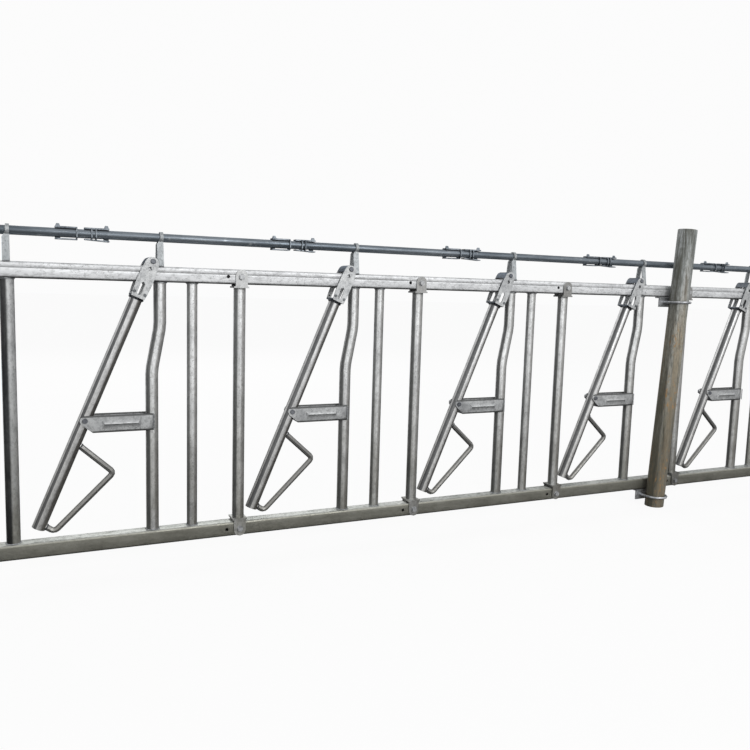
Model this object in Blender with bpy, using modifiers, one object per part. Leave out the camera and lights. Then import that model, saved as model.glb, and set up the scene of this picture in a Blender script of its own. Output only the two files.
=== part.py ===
"""Cattle headlock panel: two rails, swinging neck bars, a control pipe with latches, and a clamped support post.

Metres, +Z up, +X along the run, -Y towards the feed side. The origin is on the underside of the bottom rail,
below the centre of the left end post.
"""

import math

import bmesh
import bpy
from mathutils import Matrix, Vector

# Gap kept between pieces that touch, the running gaps of pieces that turn, and the overlap of cutters
SEAT = 0.0003
RUNNING_GAP = 0.0005
SIDE_PLAY = 0.0004
STOP_GAP = 0.0006
MARGIN = 0.010

# Points this near are one point, and gaps of at most this many sides that a Boolean leaves are closed
MERGE = 0.000005
SLIVER_SIDES = 4

# Run of feeding places; the support post stands where one place would have its spacer tube
PLACES = 5
PLACE_PITCH = 0.750
RAIL_OVERHANG = 0.060
PLACE_WITHOUT_SPACER = 4

# Rails
PANEL_HEIGHT = 1.0068
RAIL_SIDE = 0.055
RAIL_WALL = 0.0035
RAIL_CORNER = 0.009
CREASE_DROP = 0.021
CREASE_WIDTH = 0.005
CREASE_DEPTH = 0.0012

# Upright tubes
POST_DIAMETER = 0.0445
POST_WALL = 0.003
SPACER_DIAMETER = 0.038
SPACER_X = 0.6018
NECK_FOOT_X = 0.4589
NECK_HEAD_X = 0.4879
NECK_LOW_BEND_Z = 0.6395
NECK_HIGH_BEND_Z = 0.7955
NECK_BEND_RADIUS = 0.150

# Adjustable posts, bolted to one of two holes in each rail
ADJUSTED_PAST_PLACE = 0.0266
HOLE_STEP = 0.049
SADDLE_BOLT_DIAMETER = 0.012
SADDLE_WIDTH = 0.045
SADDLE_PLATE = 0.005
SADDLE_STANDOFF = 0.0065
COLLAR_WIDTH = 0.056
COLLAR_PLATE = 0.006
COLLAR_HOLE_DIAMETER = 0.024

# Pivot brackets
PIVOT_X = 0.2312
PIVOT_Z = 0.4689
PIVOT_PLATE = 0.005
PIVOT_TIP = 0.0168
PIVOT_BELOW = 0.0445
PIVOT_TAIL = 0.0021
PIVOT_CORNER_X = 0.0262
PIVOT_FOLD_RADIUS = 0.008
BEAD_LENGTH = 0.136
BEAD_START = 0.052
BEAD_HEIGHT = 0.008
BEAD_TOP = 0.0005
BEAD_RIDGE = -0.0115
BEAD_BOTTOM = -0.0425
BEAD_RIDGE_RADIUS = 0.004
BEAD_TAPER = 0.012

# Pivot bolts
BOLT_DIAMETER = 0.014
BOLT_HEAD_DIAMETER = 0.0185
BOLT_HEAD_HEIGHT = 0.004
NUT_WIDTH = 0.022
NUT_HEIGHT = 0.011
BOLT_STICK_OUT = 0.004

# Swinging neck bars
SWING_LEAN = 0.2228
SWING_DIAMETER = 0.0445
SWING_WALL = 0.003
SWING_FOOT = 0.403
SWING_HEAD_DROP = 0.1195
SLEEVE_DIAMETER = 0.026
HANDLE_DIAMETER = 0.0213
HANDLE_START = (0.018, 0.090)
HANDLE_CORNER = (0.162, 0.143)
HANDLE_LOW = (0.054, 0.398)
HANDLE_END = (0.018, 0.390)
HANDLE_CORNER_RADIUS = 0.014
HANDLE_LOW_RADIUS = 0.017

# Head brackets, which straddle the top rail: rises and drops run along the bar from the rail's top
HEAD_CLEARANCE = 0.0045
HEAD_PLATE = 0.004
HEAD_BASE = 0.006
HEAD_TOP_RADIUS = 0.024
HEAD_TOP_RISE = 0.0088
HEAD_BULGE = 0.004
HOOD_DROP = 0.0022
HOOD_ANGLE = math.radians(120)
HEAD_SLOT_WIDTH = 0.015
HEAD_SLOT_LENGTH = 0.051
HEAD_SLOT_DROP = 0.0857
HEAD_SLOT_X = -0.002
WINDOW_WIDTH = 0.014
WINDOW_LENGTH = 0.018
WINDOW_DROP = 0.0112
RIVET_HOLE = 0.007
RIVET_X = 0.019
RIVET_DROP = 0.1022

# Catch pins
PIN_DIAMETER = 0.018
PIN_RISE = 0.0178
PIN_STICK_OUT = 0.004
PIN_CHAMFER = 0.0015

# Control pipe and the straps that carry it
PIPE_DIAMETER = 0.030
PIPE_WALL = 0.003
PIPE_ABOVE_PIN = 0.0381
PIPE_OVERHANG = 0.075
STRAP_WIDTH = 0.022
STRAP_THICKNESS = 0.005
STRAP_LEG_Y = 0.0235
STRAP_WRAP = math.radians(50)
STRAP_LOOP_WIDTH = 0.0118
STRAP_SLANT_LOW = 0.023
STRAP_SLANT_HIGH = 0.004

# Latches on the control pipe, one above each pivot: offsets are from the pivot, radii from the pipe's centre
LATCH_LEFT = 0.083
LATCH_RIGHT = 0.089
LATCH_GAP_LEFT = 0.013
LATCH_GAP_RIGHT = 0.009
LATCH_BAND = 0.004
LATCH_BANDS = (0.0317, 0.0459)
LATCH_BAND_HALF_DEPTH = 0.020
LATCH_BAND_TOP = 0.021
LATCH_BAND_BOTTOM = 0.0205
LATCH_BAND_CORNER = 0.009
LATCH_COLLAR = 0.018
FIN_TOP = 0.0305
FIN_TOP_WIDTH = 0.009
FIN_PLATE = 0.006
TOP_PLATE_HALF_DEPTH = 0.010
TOP_PLATE_LOW = 0.0162
TOP_PLATE_HIGH = 0.0213
LOWER_BAR_FRONT = 0.008
LOWER_BAR = 0.004
LOWER_BAR_LEFT = 0.022
LOWER_BAR_INNER = 0.020
LOWER_BAR_OUTER = 0.0245
SPINE_NEAR = 0.0160
SPINE_DEPTH = 0.021
SPINE_HALF_HEIGHT = 0.005
FINGER_REACH = 0.038
FINGER_HALF_HEIGHT = 0.004
FINGER_WIDTH = 0.034
FINGER_LEFT = 0.0262
FINGER_RIGHT = 0.0100

# Support post and its clamps
SUPPORT_DIAMETER = 0.0889
SUPPORT_WALL = 0.004
SUPPORT_FOOT_BEFORE_POST = 0.1732
SUPPORT_HEAD_BEFORE_POST = 0.0832
SUPPORT_BELOW = 0.0735
SUPPORT_ABOVE = 0.268
CLAMP_PLATE = 0.006
CLAMP_LEFT = 0.081
CLAMP_RIGHT = 0.065
CLAMP_DROP = 0.048
CLAMP_FLANGE = 0.028
U_BOLT_DIAMETER = 0.012
U_BOLT_GAP = 0.0009
U_BOLT_DROP = 0.024
U_BOLT_STICK_OUT = 0.008
U_BOLT_NUT_WIDTH = 0.019
U_BOLT_NUT_HEIGHT = 0.010

# Facets
TUBE_SIDES = 16
SUPPORT_SIDES = 24
ROD_SIDES = 8
LATCH_SIDES = 8
HOLE_SIDES = 8
RAIL_HOLE_SIDES = 10
PIN_SIDES = 12
ARC_STEPS = 4

# Colours as red, green, blue, then roughness and metallic
GALVANISED = ((0.62, 0.64, 0.65), 0.42, 0.85)
GALVANISED_DULL = ((0.48, 0.49, 0.48), 0.55, 0.80)
DARK_STEEL = ((0.13, 0.16, 0.19), 0.45, 0.60)
WEATHERED = ((0.27, 0.25, 0.21), 0.75, 0.40)
BOLT_STEEL = ((0.35, 0.36, 0.37), 0.40, 0.90)

TOP_RAIL_UNDER = PANEL_HEIGHT - RAIL_SIDE
TOP_RAIL_Z = PANEL_HEIGHT - RAIL_SIDE / 2
RUN_LENGTH = PLACES * PLACE_PITCH
ADJUSTED_X = PLACE_PITCH + ADJUSTED_PAST_PLACE
SUPPORT_POST_X = (PLACE_WITHOUT_SPACER - 1) * PLACE_PITCH + ADJUSTED_X
SUPPORT_FOOT_X = SUPPORT_POST_X - SUPPORT_FOOT_BEFORE_POST
SUPPORT_HEAD_X = SUPPORT_POST_X - SUPPORT_HEAD_BEFORE_POST
SWING_TILT = math.atan(SWING_LEAN / (PANEL_HEIGHT - PIVOT_Z))
RAIL_TOP_ALONG = (PANEL_HEIGHT - PIVOT_Z) / math.cos(SWING_TILT)
SWING_HEAD = RAIL_TOP_ALONG - SWING_HEAD_DROP
HEAD_TOP_CENTRE = RAIL_TOP_ALONG + HEAD_TOP_RISE
HOOD_START = RAIL_TOP_ALONG - HOOD_DROP
HEAD_SLOT_Z = RAIL_TOP_ALONG - HEAD_SLOT_DROP
WINDOW_Z = RAIL_TOP_ALONG - WINDOW_DROP
RIVET_Z = RAIL_TOP_ALONG - RIVET_DROP
PIN_Z = RAIL_TOP_ALONG + PIN_RISE
PIPE_Z = PIVOT_Z + PIN_Z + PIPE_ABOVE_PIN
HALF_RAIL = RAIL_SIDE / 2
CHEEK_INNER = HALF_RAIL + HEAD_CLEARANCE
CHEEK_OUTER = CHEEK_INNER + HEAD_PLATE
PIVOT_INNER = max(POST_DIAMETER, SWING_DIAMETER) / 2 + SIDE_PLAY
PIVOT_OUTER = PIVOT_INNER + PIVOT_PLATE
FRONT_VIEW = Matrix.Rotation(math.pi / 2, 4, "X")
SIDE_VIEW = Matrix(((0, 0, 1, 0), (1, 0, 0, 0), (0, 1, 0, 0), (0, 0, 0, 1)))


def clear_scene():
    for obj in list(bpy.data.objects):
        bpy.data.objects.remove(obj)


def new_collection(name):
    collection = bpy.data.collections.new(name)
    bpy.context.scene.collection.children.link(collection)
    return collection


def outside(radius, gap, sides):
    """Radius of a hole with this many sides whose flats clear a shaft of the given radius by the gap."""
    return (radius + gap) / math.cos(math.pi / sides)


def arc(centre, radius, start, end, steps=ARC_STEPS):
    """Points on an arc from one angle to another, both ends included."""
    turns = [start + (end - start) * i / steps for i in range(steps + 1)]
    return [(centre[0] + radius * math.cos(a), centre[1] + radius * math.sin(a)) for a in turns]


def rounded(points, radii, steps=ARC_STEPS, closed=True):
    """The outline with each corner replaced by an arc of its own radius; a radius of 0 keeps the corner."""
    result = []
    count = len(points)
    for i, point in enumerate(points):
        if radii[i] == 0 or (not closed and i in (0, count - 1)):
            result.append(tuple(point))
            continue
        corner = Vector(point)
        before = (Vector(points[i - 1]) - corner).normalized()
        after = (Vector(points[(i + 1) % count]) - corner).normalized()
        half = before.angle(after) / 2
        centre = corner + (before + after).normalized() * radii[i] / math.sin(half)
        start = corner + before * radii[i] / math.tan(half) - centre
        end = corner + after * radii[i] / math.tan(half) - centre
        for k in range(steps + 1):
            result.append(tuple(centre + start.slerp(end, k / steps).normalized() * radii[i]))
    return result


def thick_line(points, thickness):
    """Closed outline of a strip of even thickness whose middle follows the points."""
    left, right = [], []
    for i, point in enumerate(points):
        before = Vector(points[max(i - 1, 0)])
        after = Vector(points[min(i + 1, len(points) - 1)])
        along = (after - before).normalized()
        into = (Vector(point) - before).normalized() if i else along
        side = Vector((-along.y, along.x)) * thickness / 2 / max(along.dot(into), 0.5)
        left.append(tuple(Vector(point) + side))
        right.append(tuple(Vector(point) - side))
    return left + right[::-1]


def stadium(centre, length, width, angle=0.0, steps=ARC_STEPS):
    """A slot outline: two half circles joined by straights; length is measured over the ends."""
    reach = (length - width) / 2
    along = Vector((math.cos(angle), math.sin(angle))) * reach
    end = arc(Vector(centre) + along, width / 2, angle - math.pi / 2, angle + math.pi / 2, steps)
    start = arc(Vector(centre) - along, width / 2, angle + math.pi / 2, angle + 3 * math.pi / 2, steps)
    return end + start


def circle(centre, radius, sides=HOLE_SIDES):
    return [
        (
            centre[0] + radius * math.cos(2 * math.pi * (i + 0.5) / sides),
            centre[1] + radius * math.sin(2 * math.pi * (i + 0.5) / sides),
        )
        for i in range(sides)
    ]


def mesh_of(obj):
    """The object's evaluated shape as a mesh of its own; the object is then removed."""
    graph = bpy.context.evaluated_depsgraph_get()
    mesh = bpy.data.meshes.new_from_object(obj.evaluated_get(graph))
    mesh.transform(obj.matrix_basis)
    bpy.data.objects.remove(obj)
    work = bmesh.new()
    work.from_mesh(mesh)
    bmesh.ops.remove_doubles(work, verts=work.verts, dist=MERGE)
    rims = [edge for edge in work.edges if edge.is_boundary]
    bmesh.ops.holes_fill(work, edges=rims, sides=SLIVER_SIDES)
    bmesh.ops.recalc_face_normals(work, faces=work.faces)
    work.to_mesh(mesh)
    work.free()
    return mesh


def curve_object(kind, splines, closed):
    curve = bpy.data.curves.new("outline", "CURVE")
    curve.dimensions = kind
    for points in splines:
        spline = curve.splines.new("POLY")
        spline.points.add(len(points) - 1)
        for slot, point in zip(spline.points, points):
            slot.co = (*point, 0.0, 1.0) if len(point) == 2 else (*point, 1.0)
        spline.use_cyclic_u = closed
    obj = bpy.data.objects.new("outline", curve)
    helpers.objects.link(obj)
    return obj


def plate(outlines, thickness, view, middle=0.0):
    """A flat outline, with any holes after it, given a thickness about its middle plane."""
    obj = curve_object("2D", outlines, True)
    obj.data.fill_mode = "BOTH"
    obj.data.extrude = thickness / 2
    obj.matrix_basis = view @ Matrix.Translation((0, 0, middle))
    return mesh_of(obj)


def rod(points, diameter, sides=ROD_SIDES):
    """A solid round bar along the points."""
    obj = curve_object("3D", [points], False)
    obj.data.bevel_depth = diameter / 2
    obj.data.bevel_resolution = (sides - 4) // 2
    obj.data.use_fill_caps = True
    return mesh_of(obj)


def tube(points, diameter, wall, sides=TUBE_SIDES):
    """An open-ended round tube along the points: a swept skin thickened inwards."""
    obj = curve_object("3D", [points], False)
    obj.data.bevel_depth = diameter / 2
    obj.data.bevel_resolution = (sides - 4) // 2
    skin = mesh_of(obj)
    shell = bpy.data.objects.new("shell", skin)
    helpers.objects.link(shell)
    thicken = shell.modifiers.new("wall", "SOLIDIFY")
    thicken.thickness = wall
    thicken.offset = -1
    thicken.use_even_offset = True
    return mesh_of(shell)


def cylinder(radius, length, sides, centre=(0, 0, 0), axis="Z"):
    work = bmesh.new()
    bmesh.ops.create_cone(
        work, cap_ends=True, segments=sides, radius1=radius, radius2=radius, depth=length
    )
    turn = {"X": Matrix.Rotation(math.pi / 2, 4, "Y"), "Y": FRONT_VIEW, "Z": Matrix.Identity(4)}
    mesh = bpy.data.meshes.new("cylinder")
    work.to_mesh(mesh)
    work.free()
    mesh.transform(Matrix.Translation(centre) @ turn[axis])
    return mesh


def box(low, high):
    work = bmesh.new()
    bmesh.ops.create_cube(work, size=1.0)
    size = Vector(high) - Vector(low)
    middle = (Vector(high) + Vector(low)) / 2
    mesh = bpy.data.meshes.new("box")
    work.to_mesh(mesh)
    work.free()
    mesh.transform(Matrix.Translation(middle) @ Matrix.Diagonal((*size, 1)))
    return mesh


def softened(mesh, width, segments=1):
    """The mesh with its sharp edges bevelled."""
    obj = bpy.data.objects.new("soft", mesh)
    helpers.objects.link(obj)
    bevel = obj.modifiers.new("edges", "BEVEL")
    bevel.width = width
    bevel.segments = segments
    bevel.limit_method = "ANGLE"
    bevel.angle_limit = math.radians(60)
    return mesh_of(obj)


def combined(base, joins=(), cuts=(), kept=()):
    """One solid: the base with others joined to it, then cut by others, then kept only inside others."""
    target = bpy.data.objects.new("target", base)
    helpers.objects.link(target)
    tools = []
    for operation, meshes in (("UNION", joins), ("DIFFERENCE", cuts), ("INTERSECT", kept)):
        for mesh in meshes:
            tool = bpy.data.objects.new("tool", mesh)
            tool.hide_render = True
            tool.display_type = "WIRE"
            helpers.objects.link(tool)
            tools.append(tool)
            step = target.modifiers.new(operation.lower(), "BOOLEAN")
            step.operation = operation
            step.solver = "EXACT"
            step.object = tool
    bpy.context.view_layer.update()
    result = mesh_of(target)
    for tool in tools:
        bpy.data.objects.remove(tool)
    return result


def finish(name, look):
    colour, roughness, metallic = look
    material = bpy.data.materials.new(name)
    material.use_nodes = True
    shader = material.node_tree.nodes["Principled BSDF"]
    shader.inputs["Base Color"].default_value = (*colour, 1)
    shader.inputs["Roughness"].default_value = roughness
    shader.inputs["Metallic"].default_value = metallic
    material.diffuse_color = (*colour, 1)
    return material


def place(name, mesh, look, at=(0, 0, 0), parent=None):
    """A named piece in the panel, with its own material, at a place given from its parent."""
    if mesh.users:
        obj = bpy.data.objects.new(name, mesh)
    else:
        mesh.name = name
        mesh.shade_smooth()
        mesh.set_sharp_from_angle(angle=math.radians(40))
        mesh.materials.append(None)
        obj = bpy.data.objects.new(name, mesh)
    obj.material_slots[0].link = "OBJECT"
    obj.material_slots[0].material = finish(name, look)
    obj.location = at
    obj.parent = parent
    panel.objects.link(obj)
    return obj


def axis_empty(name, at, tilt=0.0):
    empty = bpy.data.objects.new(name, None)
    empty.location = at
    empty.rotation_euler = (0, tilt, 0)
    panel.objects.link(empty)
    return empty


def adjusted_hole_places():
    """X of every saddle bolt hole: the one in use and the spare one beside it, for each shared post."""
    used = [ADJUSTED_X + i * PLACE_PITCH for i in range(PLACES - 1)]
    return used + [x - HOLE_STEP for x in used]


def rail_mesh(middle_z, creased):
    """Square hollow section with round corners; the top one has a rolled crease along its front face."""
    half = HALF_RAIL
    crease = half - CREASE_DROP
    outer = [(half, -half), (half, half), (-half, half)]
    radii = [RAIL_CORNER] * 3
    for depth, offset in ((0, 1), (CREASE_DEPTH, 0), (0, -1)) if creased else ():
        outer.append((-half + depth, crease + offset * CREASE_WIDTH / 2))
        radii.append(0)
    outer.append((-half, -half))
    radii.append(RAIL_CORNER)
    inside = half - RAIL_WALL
    inner = [(inside, -inside), (inside, inside), (-inside, inside), (-inside, -inside)]
    inner_radii = [RAIL_CORNER - RAIL_WALL] * 4
    outlines = [rounded(outer, radii), rounded(inner, inner_radii, 2)]
    length = RUN_LENGTH + 2 * RAIL_OVERHANG
    bar = plate(outlines, length, SIDE_VIEW, RUN_LENGTH / 2)
    hole = outside(SADDLE_BOLT_DIAMETER / 2, SEAT, RAIL_HOLE_SIDES)
    drills = [
        cylinder(hole, 2 * RAIL_SIDE, RAIL_HOLE_SIDES, (x, 0, 0), "Y") for x in adjusted_hole_places()
    ]
    bar = combined(bar, cuts=drills)
    bar.transform(Matrix.Translation((0, 0, middle_z)))
    return bar


def make_rails():
    place("bottom_rail", rail_mesh(HALF_RAIL, creased=False), GALVANISED)
    place("top_rail", rail_mesh(TOP_RAIL_Z, creased=True), GALVANISED)


def upright_mesh(diameter):
    ends = [(0, 0, RAIL_SIDE + SEAT), (0, 0, TOP_RAIL_UNDER - SEAT)]
    return tube(ends, diameter, POST_WALL)


def make_end_posts():
    mesh = upright_mesh(POST_DIAMETER)
    place("end_post_left", mesh, GALVANISED)
    place("end_post_right", mesh, GALVANISED, (RUN_LENGTH, 0, 0))


def make_spacer_tubes():
    mesh = upright_mesh(SPACER_DIAMETER)
    for i in range(PLACES):
        if i + 1 != PLACE_WITHOUT_SPACER:
            place(f"spacer_tube_{i + 1}", mesh, GALVANISED, (SPACER_X + i * PLACE_PITCH, 0, 0))


def make_neck_tubes():
    corners = [
        (NECK_FOOT_X, RAIL_SIDE + SEAT),
        (NECK_FOOT_X, NECK_LOW_BEND_Z),
        (NECK_HEAD_X, NECK_HIGH_BEND_Z),
        (NECK_HEAD_X, TOP_RAIL_UNDER - SEAT),
    ]
    route = rounded(corners, [0, NECK_BEND_RADIUS, NECK_BEND_RADIUS, 0], 1, closed=False)
    mesh = tube([(x, 0, z) for x, z in route], POST_DIAMETER, POST_WALL)
    for i in range(PLACES):
        place(f"neck_tube_{i + 1}", mesh, GALVANISED, (i * PLACE_PITCH, 0, 0))


def saddle_meshes():
    """The top saddle in place: two round-topped cheeks beside the rail and the collar that joins them under it."""
    half = SADDLE_WIDTH / 2
    inner = HALF_RAIL + SEAT
    outer = inner + SADDLE_PLATE
    collar_top = TOP_RAIL_UNDER - SADDLE_STANDOFF
    collar_low = collar_top - COLLAR_PLATE
    face = [(-half, collar_low), (half, collar_low)] + arc((0, PANEL_HEIGHT - half), half, 0, math.pi, 6)
    hole = circle((0, TOP_RAIL_Z), outside(SADDLE_BOLT_DIAMETER / 2, SEAT, HOLE_SIDES))
    middle = (inner + outer) / 2
    cheeks = [plate([face, hole], SADDLE_PLATE, FRONT_VIEW, side * middle) for side in (-1, 1)]
    low = (-COLLAR_WIDTH / 2, SEAT - outer, collar_low - SEAT)
    high = (COLLAR_WIDTH / 2, outer - SEAT, collar_top)
    return [*cheeks, box(low, high)]


def upside_down(mesh):
    """A copy mirrored about the middle height of the panel."""
    twin = mesh.copy()
    twin.transform(Matrix.Translation((0, 0, PANEL_HEIGHT)) @ Matrix.Diagonal((1, 1, -1, 1)))
    twin.flip_normals()
    return twin


def make_adjustable_posts():
    saddle = saddle_meshes()
    reach = RAIL_SIDE + SADDLE_STANDOFF + COLLAR_PLATE / 2
    stem = tube([(0, 0, reach), (0, 0, PANEL_HEIGHT - reach)], POST_DIAMETER, POST_WALL)
    drain = cylinder(COLLAR_HOLE_DIAMETER / 2, 2 * PANEL_HEIGHT, HOLE_SIDES)
    mesh = combined(stem, joins=saddle + [upside_down(piece) for piece in saddle], cuts=[drain])
    for i in range(PLACES - 1):
        x = ADJUSTED_X + i * PLACE_PITCH
        place(f"adjustable_post_{i + 1}", mesh, GALVANISED, (x, 0, 0))


def pivot_face(tail):
    """Front view of the bracket: round about the bolt, then straight down to the corner below."""
    corner = Vector((PIVOT_CORNER_X, -PIVOT_BELOW))
    turn = math.acos(PIVOT_TIP / corner.length)
    tangent = math.atan2(corner.y, corner.x) - turn + 2 * math.pi
    tip = arc((0, 0), PIVOT_TIP, math.pi / 2, tangent, 6)
    return tip + [tuple(corner), (tail, -PIVOT_BELOW), (tail, PIVOT_TIP)]


def bead_mesh(side):
    """Rib pressed out of a cheek: a short upper flank, a rounded ridge and a long lower flank."""
    root = side * (PIVOT_OUTER - PIVOT_PLATE / 2)
    ridge = side * (PIVOT_OUTER + BEAD_HEIGHT)
    end = BEAD_START + BEAD_LENGTH
    flanks = [(root, BEAD_TOP), (ridge, BEAD_RIDGE), (root, BEAD_BOTTOM)]
    section = rounded(flanks, [0, BEAD_RIDGE_RADIUS, 0], 2)
    rib = plate([section], BEAD_LENGTH + MARGIN, SIDE_VIEW, BEAD_START + BEAD_LENGTH / 2)
    plan = [(BEAD_START, root), (BEAD_START + BEAD_TAPER, ridge), (end - BEAD_TAPER, ridge), (end, root)]
    return combined(rib, kept=[plate([plan], 2 * PIVOT_BELOW + MARGIN, Matrix())])


def pivot_bracket_mesh():
    """Channel folded from one plate, open on top, from the pivot bolt to the neck tube it is welded to."""
    tail = NECK_FOOT_X - PIVOT_X + PIVOT_TAIL
    top = PIVOT_TIP + MARGIN
    floor = PIVOT_PLATE - PIVOT_BELOW
    fold = [
        (-PIVOT_OUTER, top),
        (-PIVOT_OUTER, -PIVOT_BELOW),
        (PIVOT_OUTER, -PIVOT_BELOW),
        (PIVOT_OUTER, top),
        (PIVOT_INNER, top),
        (PIVOT_INNER, floor),
        (-PIVOT_INNER, floor),
        (-PIVOT_INNER, top),
    ]
    bend, crook = PIVOT_FOLD_RADIUS, PIVOT_FOLD_RADIUS - PIVOT_PLATE
    section = rounded(fold, [0, bend, bend, 0, 0, crook, crook, 0], 2)
    length = tail + PIVOT_TIP + 2 * MARGIN
    channel = plate([section], length, SIDE_VIEW, tail + MARGIN - length / 2)
    shape = plate([pivot_face(tail)], 3 * PIVOT_OUTER, FRONT_VIEW)
    bolt_hole = outside(BOLT_DIAMETER / 2, SEAT, HOLE_SIDES)
    drill = cylinder(bolt_hole, 3 * PIVOT_OUTER, HOLE_SIDES, axis="Y")
    neck = (NECK_FOOT_X - PIVOT_X, 0, -PIVOT_BELOW)
    saddle = cylinder(POST_DIAMETER / 2 + SEAT, PIVOT_BELOW, TUBE_SIDES, neck)
    web_end = SWING_DIAMETER / 2 + STOP_GAP
    way = box((-PIVOT_BELOW, -PIVOT_INNER, -PIVOT_BELOW - MARGIN), (web_end, PIVOT_INNER, top + MARGIN))
    beads = [bead_mesh(side) for side in (-1, 1)]
    return combined(channel, kept=[shape], joins=beads, cuts=[drill, saddle, way])


def make_pivot_brackets():
    mesh = pivot_bracket_mesh()
    for i in range(PLACES):
        at = (PIVOT_X + i * PLACE_PITCH, 0, PIVOT_Z)
        place(f"pivot_bracket_{i + 1}", mesh, GALVANISED, at)


def make_pivot_bolts():
    """Low round head towards the front and the nut at the back, on one shaft."""
    front = PIVOT_OUTER + SEAT
    back_end = front + NUT_HEIGHT + BOLT_STICK_OUT
    length = front + back_end
    shaft = cylinder(BOLT_DIAMETER / 2, length, HOLE_SIDES, (0, (back_end - front) / 2, 0), "Y")
    at = (0, -front - BOLT_HEAD_HEIGHT / 2, 0)
    head = cylinder(BOLT_HEAD_DIAMETER / 2, BOLT_HEAD_HEIGHT, PIN_SIDES, at, "Y")
    nut = cylinder(NUT_WIDTH / math.sqrt(3), NUT_HEIGHT, 6, (0, front + NUT_HEIGHT / 2, 0), "Y")
    mesh = combined(shaft, joins=[head, nut])
    for i in range(PLACES):
        at = (PIVOT_X + i * PLACE_PITCH, 0, PIVOT_Z)
        place(f"pivot_bolt_{i + 1}", mesh, BOLT_STEEL, at)


def swing_bar_mesh():
    """Tube with its pivot sleeve and its bent handle; local Z runs up the bar and the pivot is the origin."""
    stem = tube([(0, 0, -SWING_FOOT), (0, 0, SWING_HEAD)], SWING_DIAMETER, SWING_WALL)
    sleeve = cylinder(SLEEVE_DIAMETER / 2, SWING_DIAMETER - SWING_WALL, HOLE_SIDES, axis="Y")
    corners = [(x, -drop) for x, drop in (HANDLE_START, HANDLE_CORNER, HANDLE_LOW, HANDLE_END)]
    route = rounded(corners, [0, HANDLE_CORNER_RADIUS, HANDLE_LOW_RADIUS, 0], 3, closed=False)
    handle = rod([(x, 0, z) for x, z in route], HANDLE_DIAMETER)
    pivot = cylinder(outside(BOLT_DIAMETER / 2, SEAT, HOLE_SIDES), 2 * SWING_DIAMETER, HOLE_SIDES, axis="Y")
    return combined(stem, joins=[sleeve, handle], cuts=[pivot])


def cheek_half_width(z):
    """Half width of a head cheek at a height along the bar: fullest half way up."""
    middle = (SWING_HEAD + HEAD_TOP_CENTRE) / 2
    share = (z - middle) / (HEAD_TOP_CENTRE - middle)
    return HEAD_TOP_RADIUS + HEAD_BULGE * (1 - share * share)


def head_bracket_mesh():
    """Two cheeks that straddle the rail, their base on the bar, and the hood that joins them above the rail."""
    low = SWING_HEAD + SEAT
    heights = [low + (HEAD_TOP_CENTRE - low) * k / 4 for k in range(4)]
    right = [(cheek_half_width(z), z) for z in heights]
    left = [(-x, z) for x, z in reversed(right)]
    outline = right + arc((0, HEAD_TOP_CENTRE), HEAD_TOP_RADIUS, 0, math.pi, 6) + left
    slot = stadium((HEAD_SLOT_X, HEAD_SLOT_Z), HEAD_SLOT_LENGTH, HEAD_SLOT_WIDTH, math.pi / 2, 2)
    window = stadium((0, WINDOW_Z), WINDOW_LENGTH, WINDOW_WIDTH, math.pi / 2, 2)
    pin_hole = circle((0, PIN_Z), outside(PIN_DIAMETER / 2, SEAT, HOLE_SIDES))
    rivets = [circle((x, RIVET_Z), RIVET_HOLE / 2, 6) for x in (-RIVET_X, RIVET_X)]
    holes = [outline, slot, window, pin_hole, *rivets]
    middle = (CHEEK_INNER + CHEEK_OUTER) / 2
    cheeks = [plate(holes, HEAD_PLATE, FRONT_VIEW, side * middle) for side in (-1, 1)]
    base_half = cheek_half_width(low)
    base = box((-base_half, -CHEEK_OUTER + SEAT, low), (base_half, CHEEK_OUTER - SEAT, low + HEAD_BASE))
    inside = HEAD_TOP_RADIUS - HEAD_PLATE
    outer = arc((0, HEAD_TOP_CENTRE), HEAD_TOP_RADIUS - SEAT, HOOD_ANGLE, math.pi, 3)
    inner = arc((0, HEAD_TOP_CENTRE), inside, math.pi, HOOD_ANGLE, 3)
    curl = outer + [(SEAT - HEAD_TOP_RADIUS, HOOD_START), (-inside, HOOD_START)] + inner
    hood = plate([curl], 2 * CHEEK_OUTER - 2 * SEAT, FRONT_VIEW)
    return combined(cheeks[0], joins=[base, hood, cheeks[1]])


def catch_pin_mesh():
    half = CHEEK_OUTER + PIN_STICK_OUT
    blank = cylinder(PIN_DIAMETER / 2, 2 * half, PIN_SIDES, (0, 0, PIN_Z), "Y")
    return softened(blank, PIN_CHAMFER)


def make_swing_bars():
    bar = swing_bar_mesh()
    head = head_bracket_mesh()
    pin = catch_pin_mesh()
    for i in range(PLACES):
        at = (PIVOT_X + i * PLACE_PITCH, 0, PIVOT_Z)
        pivot = axis_empty(f"pivot_axis_{i + 1}", at, SWING_TILT)
        place(f"swing_bar_{i + 1}", bar, GALVANISED_DULL, parent=pivot)
        place(f"head_bracket_{i + 1}", head, GALVANISED, parent=pivot)
        place(f"catch_pin_{i + 1}", pin, BOLT_STEEL, parent=pivot)


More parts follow.
